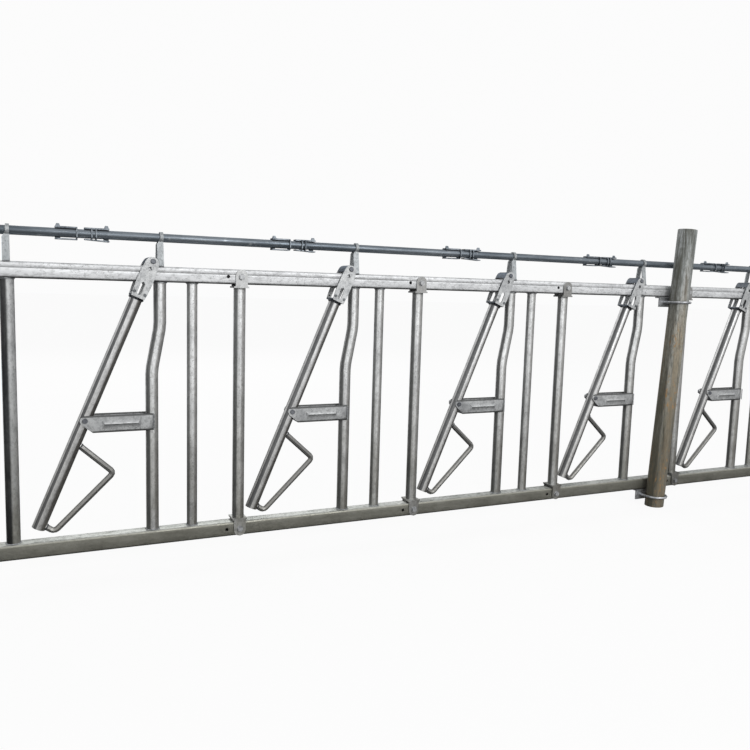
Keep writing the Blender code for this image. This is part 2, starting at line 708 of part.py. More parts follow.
def strap_mesh():
    """Flat bar bent over the control pipe: it pinches in under the pipe to carry it, then spreads to the rail."""
    foot = PANEL_HEIGHT + SEAT
    reach = PIPE_DIAMETER / 2 + RUNNING_GAP + STRAP_THICKNESS / 2
    over = arc((0, PIPE_Z), reach, math.pi + STRAP_WRAP, -STRAP_WRAP, 12)
    middle = [(-STRAP_LEG_Y, foot), *over, (STRAP_LEG_Y, foot)]
    strip = thick_line(middle, STRAP_THICKNESS)
    level = [(y, foot) if z < foot + STRAP_THICKNESS else (y, z) for y, z in strip]
    band = plate([level], STRAP_WIDTH, SIDE_VIEW)
    half = STRAP_WIDTH / 2
    top = PIPE_Z + 2 * PIPE_DIAMETER
    low = foot - MARGIN
    slant = half - STRAP_LOOP_WIDTH
    face = [
        (-half, low),
        (half, low),
        (half, top),
        (slant, top),
        (slant, PIPE_Z - STRAP_SLANT_HIGH),
        (-half, PIPE_Z - STRAP_SLANT_LOW),
    ]
    return combined(band, kept=[plate([face], 4 * PIPE_DIAMETER, FRONT_VIEW)])


def make_pipe_straps():
    mesh = strap_mesh()
    places = [0.0] + [NECK_HEAD_X + i * PLACE_PITCH for i in range(PLACES)]
    for i, x in enumerate(places):
        place(f"pipe_strap_{i + 1}", mesh, GALVANISED, (x, 0, 0))


def latch_band(x):
    """Thin plate right round the pipe at this offset from the pivot."""
    half, low, high = LATCH_BAND_HALF_DEPTH, -LATCH_BAND_BOTTOM, LATCH_BAND_TOP
    outline = rounded([(-half, low), (half, low), (half, high), (-half, high)], [LATCH_BAND_CORNER] * 4, 1)
    bore = circle((0, 0), outside(PIPE_DIAMETER / 2, SEAT, LATCH_SIDES), LATCH_SIDES)
    return plate([outline, bore], LATCH_BAND, SIDE_VIEW, x)


def latch_half(side, end, inner, low_inner, low_end):
    """One half of a latch: plate above the pipe with its fin, bar below it and wall behind it at the outer end."""
    middle = side * (end - LATCH_COLLAR / 2)
    ends = sorted((side * inner, side * end))
    walls = sorted((middle - LATCH_COLLAR / 2 + SEAT, middle + LATCH_COLLAR / 2 - SEAT))
    wall = box((walls[0], SPINE_NEAR, -low_end + SEAT), (walls[1], SPINE_DEPTH - SEAT, TOP_PLATE_HIGH - SEAT))
    roof = box((ends[0], -TOP_PLATE_HALF_DEPTH, TOP_PLATE_LOW), (ends[1], SPINE_DEPTH, TOP_PLATE_HIGH))
    root, crest = LATCH_COLLAR / 2, FIN_TOP_WIDTH / 2
    base = (TOP_PLATE_LOW + TOP_PLATE_HIGH) / 2
    fin = [(middle - root, base), (middle + root, base), (middle + crest, FIN_TOP), (middle - crest, FIN_TOP)]
    fin = plate([fin], FIN_PLATE, FRONT_VIEW)
    start, stop = side * inner, side * end
    strip = [(start, -low_inner), (stop, -low_end), (stop, LOWER_BAR - low_end), (start, LOWER_BAR - low_inner)]
    depth = SPINE_DEPTH + LOWER_BAR_FRONT
    bar = plate([strip], depth, FRONT_VIEW, LOWER_BAR_FRONT - depth / 2)
    return [wall, roof, fin, bar]


def latch_mesh():
    """Two halves on a spine behind the pipe; its two fingers come down on each side of a closed bar's pin."""
    spine = box(
        (SEAT - LATCH_LEFT, SPINE_NEAR + SEAT, -SPINE_HALF_HEIGHT),
        (LATCH_RIGHT - SEAT, SPINE_DEPTH - 2 * SEAT, SPINE_HALF_HEIGHT),
    )
    pieces = latch_half(-1, LATCH_LEFT, LATCH_GAP_LEFT, LOWER_BAR_LEFT, LOWER_BAR_LEFT)
    pieces += latch_half(1, LATCH_RIGHT, LATCH_GAP_RIGHT, LOWER_BAR_INNER, LOWER_BAR_OUTER)
    pieces += [latch_band(x) for x in (-LATCH_GAP_LEFT - LATCH_BAND / 2 - SEAT, *LATCH_BANDS)]
    root = (SPINE_NEAR + SPINE_DEPTH) / 2
    for low in (-FINGER_LEFT - FINGER_WIDTH, FINGER_RIGHT):
        high = low + FINGER_WIDTH
        pieces.append(box((low, root, -FINGER_HALF_HEIGHT), (high, FINGER_REACH, FINGER_HALF_HEIGHT)))
    return combined(spine, joins=pieces)


def make_control_pipe():
    """The pipe turns in its straps and carries a latch above each pivot."""
    axis = axis_empty("control_axis", (0, 0, PIPE_Z))
    ends = [(-PIPE_OVERHANG, 0, 0), (RUN_LENGTH + PIPE_OVERHANG, 0, 0)]
    pipe = tube(ends, PIPE_DIAMETER, PIPE_WALL)
    place("control_pipe", pipe, DARK_STEEL, parent=axis)
    mesh = latch_mesh()
    for i in range(PLACES):
        at = (PIVOT_X + i * PLACE_PITCH, 0, 0)
        place(f"latch_{i + 1}", mesh, DARK_STEEL, at, axis)


def support_at(z):
    """The point at this height on the support post's centre line, which leans along the run against the rails."""
    foot_z = -SUPPORT_BELOW
    head_z = PANEL_HEIGHT + SUPPORT_ABOVE
    share = (z - foot_z) / (head_z - foot_z)
    x = SUPPORT_FOOT_X + (SUPPORT_HEAD_X - SUPPORT_FOOT_X) * share
    return Vector((x, -HALF_RAIL - SEAT - SUPPORT_DIAMETER / 2, z))


def support_post_mesh():
    """Leaning tube cut level at its foot and square at its head."""
    foot = support_at(-SUPPORT_BELOW)
    head = support_at(PANEL_HEIGHT + SUPPORT_ABOVE)
    along = (head - foot).normalized()
    ends = [tuple(-MARGIN * along), tuple(head - foot)]
    post = tube(ends, SUPPORT_DIAMETER, SUPPORT_WALL, SUPPORT_SIDES)
    reach = SUPPORT_DIAMETER
    ground = box((-reach, -reach, -2 * MARGIN), (reach, reach, 0))
    return combined(post, cuts=[ground])


def u_bolt_mesh(z):
    """Round bar bent over the front of the post, its legs back through the clamp plate to their nuts."""
    post = support_at(z)
    bend = SUPPORT_DIAMETER / 2 + U_BOLT_GAP + U_BOLT_DIAMETER / 2
    back = CLAMP_PLATE - HALF_RAIL + SEAT
    end = back + U_BOLT_NUT_HEIGHT + U_BOLT_STICK_OUT - post.y
    bow = arc((0, 0), bend, math.pi, 2 * math.pi, 12)
    route = [(-bend, end), *bow, (bend, end)]
    bolt = rod([(x, y, 0) for x, y in route], U_BOLT_DIAMETER)
    nut_y = back + U_BOLT_NUT_HEIGHT / 2 - post.y
    radius = U_BOLT_NUT_WIDTH / math.sqrt(3)
    nuts = [cylinder(radius, U_BOLT_NUT_HEIGHT, 6, (x, nut_y, 0), "Y") for x in (-bend, bend)]
    return combined(bolt, joins=nuts)


def clamp_plate_mesh():
    """Angle bar hung under a rail, with two holes for the U-bolt's legs; its origin is on the post's centre line."""
    front = -HALF_RAIL
    section = [
        (front, 0),
        (front + CLAMP_FLANGE, 0),
        (front + CLAMP_FLANGE, -CLAMP_PLATE),
        (front + CLAMP_PLATE, -CLAMP_PLATE),
        (front + CLAMP_PLATE, -CLAMP_DROP),
        (front, -CLAMP_DROP),
    ]
    length = CLAMP_LEFT + CLAMP_RIGHT
    bar = plate([section], length, SIDE_VIEW, (CLAMP_RIGHT - CLAMP_LEFT) / 2)
    spread = SUPPORT_DIAMETER / 2 + U_BOLT_GAP + U_BOLT_DIAMETER / 2
    hole = outside(U_BOLT_DIAMETER / 2, SEAT, HOLE_SIDES)
    legs = [(side * spread, front, SEAT - U_BOLT_DROP) for side in (-1, 1)]
    return combined(bar, cuts=[cylinder(hole, 4 * CLAMP_PLATE, HOLE_SIDES, leg, "Y") for leg in legs])


def make_support_post():
    """The post stands in front of both rails and is clamped alike to each."""
    place("support_post", support_post_mesh(), WEATHERED, support_at(-SUPPORT_BELOW))
    clamp = clamp_plate_mesh()
    for level, under in (("lower", 0), ("upper", TOP_RAIL_UNDER)):
        post = support_at(under - U_BOLT_DROP)
        place(f"u_bolt_{level}", u_bolt_mesh(post.z), BOLT_STEEL, post)
        place(f"clamp_plate_{level}", clamp, DARK_STEEL, (post.x, 0, under - SEAT))


clear_scene()
panel = new_collection("cattle_headlock")
helpers = new_collection("helpers")
make_rails()
make_end_posts()
make_spacer_tubes()
make_neck_tubes()
make_adjustable_posts()
make_pivot_brackets()
make_pivot_bolts()
make_swing_bars()
make_pipe_straps()
make_control_pipe()
make_support_post()
bpy.context.view_layer.update()
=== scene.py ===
"""Looks for the cattle headlock: materials, welds, fasteners, floor, light and camera."""

import math
from collections import namedtuple

import bmesh
import bpy
from mathutils import Matrix, Vector


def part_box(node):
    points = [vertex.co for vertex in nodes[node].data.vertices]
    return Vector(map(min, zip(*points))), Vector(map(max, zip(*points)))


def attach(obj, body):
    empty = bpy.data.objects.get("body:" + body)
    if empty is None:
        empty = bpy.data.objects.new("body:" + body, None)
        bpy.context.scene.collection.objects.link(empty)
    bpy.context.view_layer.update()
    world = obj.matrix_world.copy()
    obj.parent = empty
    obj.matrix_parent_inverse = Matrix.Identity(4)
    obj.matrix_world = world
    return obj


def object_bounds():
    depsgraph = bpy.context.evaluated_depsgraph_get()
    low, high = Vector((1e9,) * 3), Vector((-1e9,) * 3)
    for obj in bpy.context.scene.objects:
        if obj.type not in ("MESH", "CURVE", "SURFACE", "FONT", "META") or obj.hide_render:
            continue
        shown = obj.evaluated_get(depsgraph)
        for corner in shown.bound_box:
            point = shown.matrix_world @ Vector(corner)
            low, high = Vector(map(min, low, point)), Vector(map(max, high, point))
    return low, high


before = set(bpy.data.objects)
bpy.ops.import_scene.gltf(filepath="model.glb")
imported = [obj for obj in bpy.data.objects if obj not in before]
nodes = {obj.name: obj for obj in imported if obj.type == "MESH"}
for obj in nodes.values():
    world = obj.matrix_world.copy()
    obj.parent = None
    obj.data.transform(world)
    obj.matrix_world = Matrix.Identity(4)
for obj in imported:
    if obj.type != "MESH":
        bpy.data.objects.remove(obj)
cad_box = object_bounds()

# The camera, found from the repeated pieces of the photograph
CAMERA_PLACE = (0.0553, -2.7446, 0.9478)
CAMERA_YAW = math.radians(25.117)
CAMERA_PITCH = math.radians(6.525)
CAMERA_ROLL = math.radians(1.644)
FOCAL_PIXELS = 746.86
IMAGE_PIXELS = 750
SENSOR = 36.0
CLIP_END = 200

# Lights and the world's strength, as a light and as a background
KEY_PLACE = (3.5, -8.0, 4.5)
KEY_SIZE = (3.0, 3.0)
KEY_POWER = 300
FILL_PLACE = (-4.0, -6.0, 4.0)
FILL_SIZE = (4.0, 3.0)
FILL_POWER = 60
BACK_PLACE = (2.0, 7.0, 5.0)
BACK_SIZE = (5.0, 3.0)
BACK_POWER = 160
WORLD_DIFFUSE = 0.52
BACKGROUND = 0.972

# Floor, and the dark boards that only shiny surfaces see
FLOOR_DROP = 0.0005
FLOOR_SIZE = 60
FLOOR_WHITE = 0.90
FLOOR_GRAIN = 0.01
FLOOR_GRAIN_SCALE = 3.0
FLOOR_GLOW = 0.915
GLOW_STRENGTH = 1.0
FLAG_DARK = 0.10
FLAG_GRAIN = 0.2
FLAG_GRAIN_SCALE = 2.0
MATT = 0.9
GROUND_FLAG = (13.0, 9.0)
BACK_FLAG = (16.0, 2.6)
BACK_FLAG_BEHIND = 5.5

# Swing bars, as the part has them. A rod end is its place across and along the bar, and its direction there
BAR_TILT = math.radians(22.5)
BAR_RADIUS = 0.02225
BAR_HEAD = 0.4627
HEAD_FACE = 0.0360
ROD_RADIUS = 0.01065
ROD_ENDS = (((0.0232, -0.0919), (0.938, -0.346)), ((0.0232, -0.3912), (0.976, -0.217)))

# Rivets' heads on the head brackets
RIVET_ALONG = 0.4800
RIVET_ACROSS = 0.019
RIVET_RADIUS = 0.0055
RIVET_HEIGHT = 0.0018
RIVET_SIDES = 14

# Weld beads: thickness, lengthwise steps, and the ripples that make them swell
WELD = 0.0022
COLLAR_WELD = 0.0040
COLLAR_DROP = 0.0035
COLLAR_GAP = 0.0005
WELD_SEGMENTS = 40
ROD_WELD_SEGMENTS = 24
STRAP_WELD_STEPS = 12
BRACKET_WELD_STEPS = 22
WELD_SIDES = 6
RIPPLE = 0.16
RIPPLE_TURN = 1.9
FINE_RIPPLE = 0.08
FINE_RIPPLE_TURN = 5.3
FINE_RIPPLE_START = 1.0

# Saddle bolts
SADDLE_BOLT = 0.012
SADDLE_HEAD_WIDTH = 0.018
SADDLE_HEAD_HEIGHT = 0.007
SADDLE_WASHER = 0.024
SADDLE_WASHER_THICKNESS = 0.0018
SADDLE_NUT_HEIGHT = 0.009
SADDLE_STICK_OUT = 0.010
WASHER_SIDES = 28
BOLT_SIDES = 20
THREAD_PITCH = 0.00175
THREAD_DEPTH = 0.0009

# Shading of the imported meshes
SMOOTH_ANGLE = math.radians(35)
WELD_MERGE = 0.00002

# Colours, linear
EDGE = (0.30, 0.32, 0.35)
SPECK = (0.06, 0.06, 0.065)
EARTH = (0.22, 0.21, 0.165)
RUBBED = (0.38, 0.40, 0.41)
# Painted shade: slate on the pivot brackets, navy on the head brackets' hood side
BRACKET_SHADE = (0.060, 0.062, 0.060)
HOOD_SHADE = (0.045, 0.060, 0.082)
# Near-black painted shade: under faces turned down, and in the end posts' dark strip
PAINTED_SHADE = (0.014, 0.015, 0.016)
OLIVE_GRIME = (0.215, 0.210, 0.175)
# The next three: brown-tinted painted shade on the far side of round tubes, then painted shade and dark
# reflection along the uprights and along the bars
BROWN_SHADE = (0.105, 0.095, 0.080)
SIDE_SHADE_AND_REFLECTION = (0.075, 0.078, 0.076)
BAR_SHADE_AND_REFLECTION = (0.048, 0.050, 0.053)
POST_DARK = (0.150, 0.155, 0.140)
POST_LIGHT = (0.40, 0.42, 0.42)
POST_TAN = (0.39, 0.355, 0.275)
POST_BROWN = (0.27, 0.20, 0.12)
POST_STREAK = (0.070, 0.068, 0.055)
POST_OLIVE = (0.115, 0.101, 0.069)
POST_SHADE = (0.085, 0.080, 0.058)
POST_RUST = (0.36, 0.21, 0.085)

# The light and the dark tone of each metal, linear
UPRIGHT_ZINC = ((0.92, 0.93, 0.93), (0.52, 0.53, 0.53))
END_POST_ZINC = ((0.62, 0.63, 0.63), (0.32, 0.33, 0.33))
BAR_ZINC = ((0.74, 0.74, 0.74), (0.42, 0.42, 0.42))
RAIL_ZINC = ((0.75, 0.76, 0.77), (0.48, 0.49, 0.50))
LOW_RAIL_ZINC = ((0.66, 0.67, 0.645), (0.36, 0.37, 0.34))
BRACKET_ZINC = ((0.62, 0.63, 0.63), (0.35, 0.36, 0.37))
HEAD_ZINC = ((0.62, 0.63, 0.63), (0.34, 0.35, 0.36))
STRAP_ZINC = ((0.46, 0.48, 0.49), (0.27, 0.29, 0.30))
BOLT_ZINC = ((0.22, 0.23, 0.25), (0.08, 0.085, 0.10))
RIVET_ZINC = ((0.20, 0.21, 0.22), (0.08, 0.085, 0.09))
FASTENER_ZINC = ((0.56, 0.57, 0.58), (0.26, 0.265, 0.27))
PIPE_STEEL = ((0.20, 0.225, 0.25), (0.10, 0.12, 0.14))
LATCH_STEEL = ((0.30, 0.33, 0.36), (0.08, 0.095, 0.11))
CLAMP_STEEL = ((0.66, 0.67, 0.69), (0.27, 0.28, 0.29))
BEAD_ZINC = ((0.46, 0.47, 0.48), (0.20, 0.21, 0.22))
DARK_BEAD = ((0.13, 0.135, 0.145), (0.045, 0.048, 0.055))

# Directions, and the stretches that draw marks out along an upright or a level piece
UNDER = (0.0, 0.0, -1.0)
TOP = (0.0, 0.0, 1.0)
FRONT = (0.0, -1.0, 0.0)
HOOD_SIDE = (-0.8, 0.0, 0.6)
UPRIGHT = (1.0, 1.0, 0.12)
LEVEL = (0.12, 1.0, 1.0)

# Zinc: marks per metre of each noise, the range of it that fades in, and how strongly it shows
CLOUD_SCALE = 9.0
RUN_SCALE = 26.0
SPANGLE_SCALE = 150.0
BLOT_SCALE = 95.0
SPECK_SCALE = 230.0
PATCH_SCALE = 14.0
SKIN_SCALE = 60.0
FINE_SKIN_SCALE = 420.0
SKIN_DEPTH = 0.0012
FINE_SKIN_DEPTH = 0.0003
CLOUD_SHARE = 0.45
RUN_SHARE = 0.55
TONE_RANGE = (0.30, 0.66)
BLOT_RANGE = (0.46, 0.64)
SPECK_RANGE = (0.58, 0.70)
PATCH_RANGE = (0.40, 0.60)
EARTH_RANGE = (0.35, 0.60)
# This range and the thin share below break up the stains, the painted shade and the painted dark reflection
# alike
STAIN_AND_SHADE_RANGE = (0.30, 0.70)
SPANGLE_SHARE = 0.16
SPANGLE_GAIN = 1.35
SPANGLE_DULL = 0.3
SPECK_SHARE = 0.60
EARTH_LEAST = 0.2
# Thinning share for the stains, the painted shade and the painted dark reflection
STAIN_AND_SHADE_THIN = 0.85
BLOT_TINT = 0.50
OFF_TINT = 0.28
FINE_SKIN_SHARE = 0.7
DULL_RANGE = (0.3, 0.95)
ZINC_DULLER = 0.22
ZINC_METALLIC = 0.85

# Dark steel, in the same terms
STEEL_STREAK_SCALE = 30.0
STEEL_CLOUD_SCALE = 12.0
STEEL_RUB_SCALE = 55.0
STEEL_SKIN_SCALE = 150.0
STEEL_STREAK_RANGE = (0.32, 0.66)
STEEL_RUB_RANGE = (0.58, 0.70)
STEEL_CLOUD_RANGE = (0.3, 0.7)
STEEL_SKIN = 0.3
STEEL_SKIN_DEPTH = 0.0006
STEEL_DULLER = 0.2

# Support post, in the same terms, and the stretches that draw its marks out
POST_RUN_SCALE = 42.0
POST_FINE_SCALE = 150.0
POST_CLOUD_SCALE = 9.0
POST_LINE_SCALE = 95.0
POST_SPOT_SCALE = 60.0
POST_BLOOM_SCALE = 7.0
POST_RUN_STRETCH = (1.0, 1.0, 0.05)
POST_FINE_STRETCH = (1.0, 1.0, 0.25)
POST_CLOUD_STRETCH = (1.0, 1.0, 0.3)
POST_LINE_STRETCH = (1.0, 1.0, 0.03)
POST_SPOT_STRETCH = (1.3, 1.3, 0.45)
POST_RUN_RANGE = (0.38, 0.60)
POST_CLOUD_RANGE = (0.30, 0.60)
POST_OLIVE_RANGE = (0.35, 0.60)
POST_FINE_RANGE = (0.44, 0.62)
POST_LINE_RANGE = (0.50, 0.62)
POST_SPOT_RANGE = (0.53, 0.63)
POST_BLOOM_RANGE = (0.42, 0.58)
# This range and the thin share below break up the post's dark strips, painted shade among them
POST_STRIP_RANGE = (0.30, 0.65)
POST_DULL_RANGE = (0.3, 0.7)
POST_TAN_SHARE = 0.75
POST_OLIVE_SHARE = 0.90
POST_FINE_SHARE = 0.60
POST_LINE_SHARE = 0.75
POST_RUST_SHARE = 0.90
# Thinning share for the post's dark strips
POST_STRIP_THIN = 0.55
POST_ROUGHNESS = (0.50, 0.80)
POST_SKIN = 0.4
POST_SKIN_DEPTH = 0.0008
POST_METALLIC = 0.35

# Weld beads, in the same terms
BEAD_SCALE = 140.0
BEAD_SKIN_SCALE = 400.0
BEAD_RANGE = (0.35, 0.65)
BEAD_DULL_RANGE = (0.3, 0.7)
BEAD_ROUGHNESS = (0.40, 0.65)
BEAD_SKIN = 0.4
BEAD_SKIN_DEPTH = 0.0005
BEAD_METALLIC = 0.8

# Heights between which a layer of colour fades in, from the upper one down
EARTH_HEIGHTS = (0.75, 0.0)
POST_TAN_HEIGHTS = (1.05, 0.70)
POST_OLIVE_HEIGHTS = (0.75, 0.20)
POST_RUST_HEIGHTS = (1.00, 0.72)
POST_STRIP_HEIGHTS = (1.22, 0.95)

# The upright, end post and bar strips are painted shade and dark reflection; FAR_STRIP and BROWN_SIDES are
# brown-tinted painted shade
# Dark strips along tubes, fitted to the photo's bands: middle and half width over the radius, and amount
UPRIGHT_STRIPS = {
    "spacer_tube": (-0.70, 0.24, 0.72),
    "neck_tube": (-0.60, 0.27, 0.90),
    "adjustable_post": (-0.62, 0.27, 0.88),
}
FAR_STRIP = (0.72, 0.34, 0.55)
END_POST_STRIP = (-0.52, 0.40, 0.99)
BAR_STRIPS = (
    (-0.56, 0.21, 0.92),
    (-0.46, 0.28, 0.92),
    (-0.40, 0.31, 0.92),
    (-0.35, 0.35, 0.92),
    (-0.17, 0.40, 0.92),
)
BROWN_SIDES = (
    (0.72, 0.36, 0.85),
    (0.78, 0.30, 0.80),
    (0.82, 0.22, 0.75),
    (0.86, 0.18, 0.70),
    (0.92, 0.12, 0.70),
)
# The first post strip is painted shade; the second darkens a thin line and the third a brown side
POST_STRIPS = (
    (-0.62, 0.34, 0.72, POST_SHADE),
    (-0.36, 0.12, 0.55, POST_STREAK),
    (0.45, 0.28, 0.35, POST_BROWN),
)

# A strip is full up to the first share of its half width and gone past the second
STRIP_FULL = 0.65
STRIP_GONE = 1.35

# How far the dark side turns per metre of the row, fitted to the photo's bands as its viewpoint shows them
TURN_PER_METRE = math.radians(15.5)

# How far a saddle plate reaches below the top rail, how deep the painted shadow along a bracket's top edge
# reaches, and the fades there
SADDLE_EDGE = 0.019
BRACKET_EDGE = 0.0055
EDGE_FADE = 0.001
BAR_SIDE_FADE = 0.003

END_POSTS = ["end_post_left", "end_post_right"]
CLAMP_PIECES = ["u_bolt_upper", "u_bolt_lower", "clamp_plate_upper", "clamp_plate_lower"]

# A mark on the faces turned one way: the bottom rail's olive stain, the support post's strips, and painted
# shade and dark reflection on the other pieces
StainAndShade = namedtuple("StainAndShade", "direction low high amount tint bar_only", defaults=(False,))


def node_middle(name):
    low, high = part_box(name)
    return (Vector(low) + Vector(high)) / 2


def numbered(prefix):
    """Names of the nodes that are this prefix and a number, in order."""
    found = [name for name in nodes if name.rpartition("_")[0] == prefix and name[-1].isdigit()]
    return sorted(found, key=lambda name: int(name.rpartition("_")[2]))


def is_socket(value):
    return isinstance(value, bpy.types.NodeSocket)


def colour_socket(sockets, name):
    """The colour version of a Mix node's socket of this name."""
    return next(socket for socket in sockets if socket.name == name and socket.type == "RGBA")


def scaled(colour, share):
    return tuple(min(1, part * share) for part in colour)


class Shader:
    """A material under construction: each call adds nodes and gives back their output."""

    def __init__(self, name):
        self.material = bpy.data.materials.new(name)
        self.material.use_nodes = True
        self.tree = self.material.node_tree
        self.surface = self.tree.nodes["Principled BSDF"]
        spot = self.node("ShaderNodeTexCoord")
        self.place = spot.outputs["Object"]
        self.normal = spot.outputs["Normal"]

    def node(self, kind, **settings):
        made = self.tree.nodes.new(kind)
        for name, value in settings.items():
            setattr(made, name, value)
        return made

    def feed(self, socket, value):
        if is_socket(value):
            self.tree.links.new(value, socket)
        else:
            socket.default_value = value

    def stretched(self, scale, tilt=0.0):
        """The place on the piece, stretched: a share below 1 draws marks out along that axis."""
        mapping = self.node("ShaderNodeMapping")
        self.feed(mapping.inputs["Vector"], self.place)
        mapping.inputs["Rotation"].default_value = (0, tilt, 0)
        mapping.inputs["Scale"].default_value = scale
        return mapping.outputs["Vector"]

    def noise(self, scale, detail=4.0, roughness=0.6, vector=None):
        """Soft marks: how many per metre, how many finer layers, and how strong those are."""
        texture = self.node("ShaderNodeTexNoise")
        self.feed(texture.inputs["Vector"], vector or self.place)
        texture.inputs["Scale"].default_value = scale
        texture.inputs["Detail"].default_value = detail
        texture.inputs["Roughness"].default_value = roughness
        return texture.outputs["Fac"]

    def cells(self, scale):
        """Small flat cells, each with its own value."""
        texture = self.node("ShaderNodeTexVoronoi")
        self.feed(texture.inputs["Vector"], self.place)
        texture.inputs["Scale"].default_value = scale
        split = self.node("ShaderNodeSeparateColor")
        self.feed(split.inputs["Color"], texture.outputs["Color"])
        return split.outputs["Red"]

    def steps(self, value, low, high, to_low=0.0, to_high=1.0):
        """Goes softly from to_low to to_high while the value goes from low to high."""
        ranged = self.node("ShaderNodeMapRange", interpolation_type="SMOOTHSTEP")
        self.feed(ranged.inputs["Value"], value)
        ranged.inputs["From Min"].default_value = low
        ranged.inputs["From Max"].default_value = high
        ranged.inputs["To Min"].default_value = to_low
        ranged.inputs["To Max"].default_value = to_high
        return ranged.outputs["Result"]

    def maths(self, operation, first, second):
        made = self.node("ShaderNodeMath", operation=operation)
        self.feed(made.inputs[0], first)
        self.feed(made.inputs[1], second)
        return made.outputs[0]

    def plus(self, first, second):
        return self.maths("ADD", first, second)

    def times(self, first, second):
        return self.maths("MULTIPLY", first, second)

    def mix(self, share, first, second):
        """The first colour where the share is 0, and the second where it is 1."""
        made = self.node("ShaderNodeMix", data_type="RGBA")
        self.feed(made.inputs["Factor"], share)
        for name, value in (("A", first), ("B", second)):
            self.feed(colour_socket(made.inputs, name), value if is_socket(value) else (*value, 1))
        return colour_socket(made.outputs, "Result")

    def height(self):
        split = self.node("ShaderNodeSeparateXYZ")
        self.feed(split.inputs["Vector"], self.place)
        return split.outputs["Z"]

    def facing(self, direction, low, high):
        """1 where the surface faces this way, in the piece's own axes, falling to 0 away from it."""
        lean = self.node("ShaderNodeVectorMath", operation="DOT_PRODUCT")
        self.feed(lean.inputs[0], self.normal)
        lean.inputs[1].default_value = direction
        return self.steps(lean.outputs["Value"], low, high)

    def beyond(self, point, across, low, high):
        """0 at a line through the point, rising to 1 away from it on the side that across points to."""
        away = self.node("ShaderNodeVectorMath", operation="SUBTRACT")
        self.feed(away.inputs[0], self.place)
        away.inputs[1].default_value = point
        reach = self.node("ShaderNodeVectorMath", operation="DOT_PRODUCT")
        self.feed(reach.inputs[0], away.outputs["Vector"])
        reach.inputs[1].default_value = across
        return self.steps(reach.outputs["Value"], low, high)

    def bump(self, height, strength, distance, under=None):
        made = self.node("ShaderNodeBump")
        made.inputs["Strength"].default_value = strength
        made.inputs["Distance"].default_value = distance
        self.feed(made.inputs["Height"], height)
        if under:
            self.feed(made.inputs["Normal"], under)
        return made.outputs["Normal"]

    def done(self, colour, roughness, metallic, normal=None, edge=None):
        self.feed(self.surface.inputs["Base Color"], colour)
        self.feed(self.surface.inputs["Roughness"], roughness)
        self.feed(self.surface.inputs["Metallic"], metallic)
        if normal:
            self.feed(self.surface.inputs["Normal"], normal)
        if edge:
            self.surface.inputs["Specular Tint"].default_value = (*edge, 1)
        return self.material


def shade_side_of(name):
    """The level direction of a tube's painted dark side. It turns along the row much as the photo's view
    does.
    """
    turn = TURN_PER_METRE * node_middle(name).x
    return Vector((-math.cos(turn), math.sin(turn), 0))


def strip(shade_side, middle, half, amount, tint, axis=TOP, bar_only=False):
    """A dark strip along a round tube, painted shade and dark reflection on most tubes. Its place runs from
    -1 at the painted dark side to 1 at the other side.
    """
    axis = Vector(axis)
    front = Vector((-shade_side.y, shade_side.x, 0))
    front = (front - front.dot(axis) * axis).normalized()
    left = (shade_side - shade_side.dot(axis) * axis - shade_side.dot(front) * front).normalized()
    start = math.asin(max(-1.0, middle - half))
    end = math.asin(min(1.0, middle + half))
    turn = (start + end) / 2
    reach = (end - start) / 2
    direction = front * math.cos(turn) - left * math.sin(turn)
    gone = math.cos(STRIP_GONE * reach)
    full = math.cos(STRIP_FULL * reach)
    return StainAndShade(direction, gone, full, amount, tint, bar_only)


def zinc_ground(make, light, dark, cloud, runs, spangle):
    """Clouds and runs between two greys, with brighter spangle."""
    tone = make.plus(make.times(cloud, CLOUD_SHARE), make.times(runs, RUN_SHARE))
    colour = make.mix(make.steps(tone, *TONE_RANGE), dark, light)
    return make.mix(make.times(spangle, SPANGLE_SHARE), colour, scaled(light, SPANGLE_GAIN))


def with_blots(make, colour, dark, grain, tilt, mottle):
    """Dull blots, drawn out half as much as the runs."""
    softer = tuple(0.5 + stretch / 2 for stretch in grain)
    blots = make.steps(make.noise(BLOT_SCALE, 6.0, 0.7, make.stretched(softer, tilt)), *BLOT_RANGE)
    return make.mix(make.times(blots, mottle), colour, scaled(dark, BLOT_TINT))


def with_specks(make, colour):
    """Small dark specks, in patches."""
    specks = make.steps(make.noise(SPECK_SCALE, 3.0, 0.5), *SPECK_RANGE)
    patches = make.steps(make.noise(PATCH_SCALE, 3.0, 0.5), *PATCH_RANGE)
    return make.mix(make.times(make.times(specks, patches), SPECK_SHARE), colour, SPECK)


def with_earth(make, colour, runs, warm):
    """Splashed earth that grows thicker towards the ground."""
    low_down = make.steps(make.height(), *EARTH_HEIGHTS)
    stain = make.times(low_down, make.steps(runs, *EARTH_RANGE, EARTH_LEAST, warm))
    return make.mix(stain, colour, EARTH)


def with_stains_and_shade(make, colour, runs, mark, away):
    """The mark's colour on the side that faces a way, a little thinner in places: painted shade and dark
    reflection on most pieces, a stain on the bottom rail's front. On a bar it ends where off starts.
    """
    face = make.facing(mark.direction, mark.low, mark.high)
    share = make.times(face, make.steps(runs, *STAIN_AND_SHADE_RANGE, STAIN_AND_SHADE_THIN * mark.amount, mark.amount))
    if mark.bar_only:
        share = make.times(share, make.maths("SUBTRACT", 1.0, away))
    return make.mix(share, colour, mark.tint)


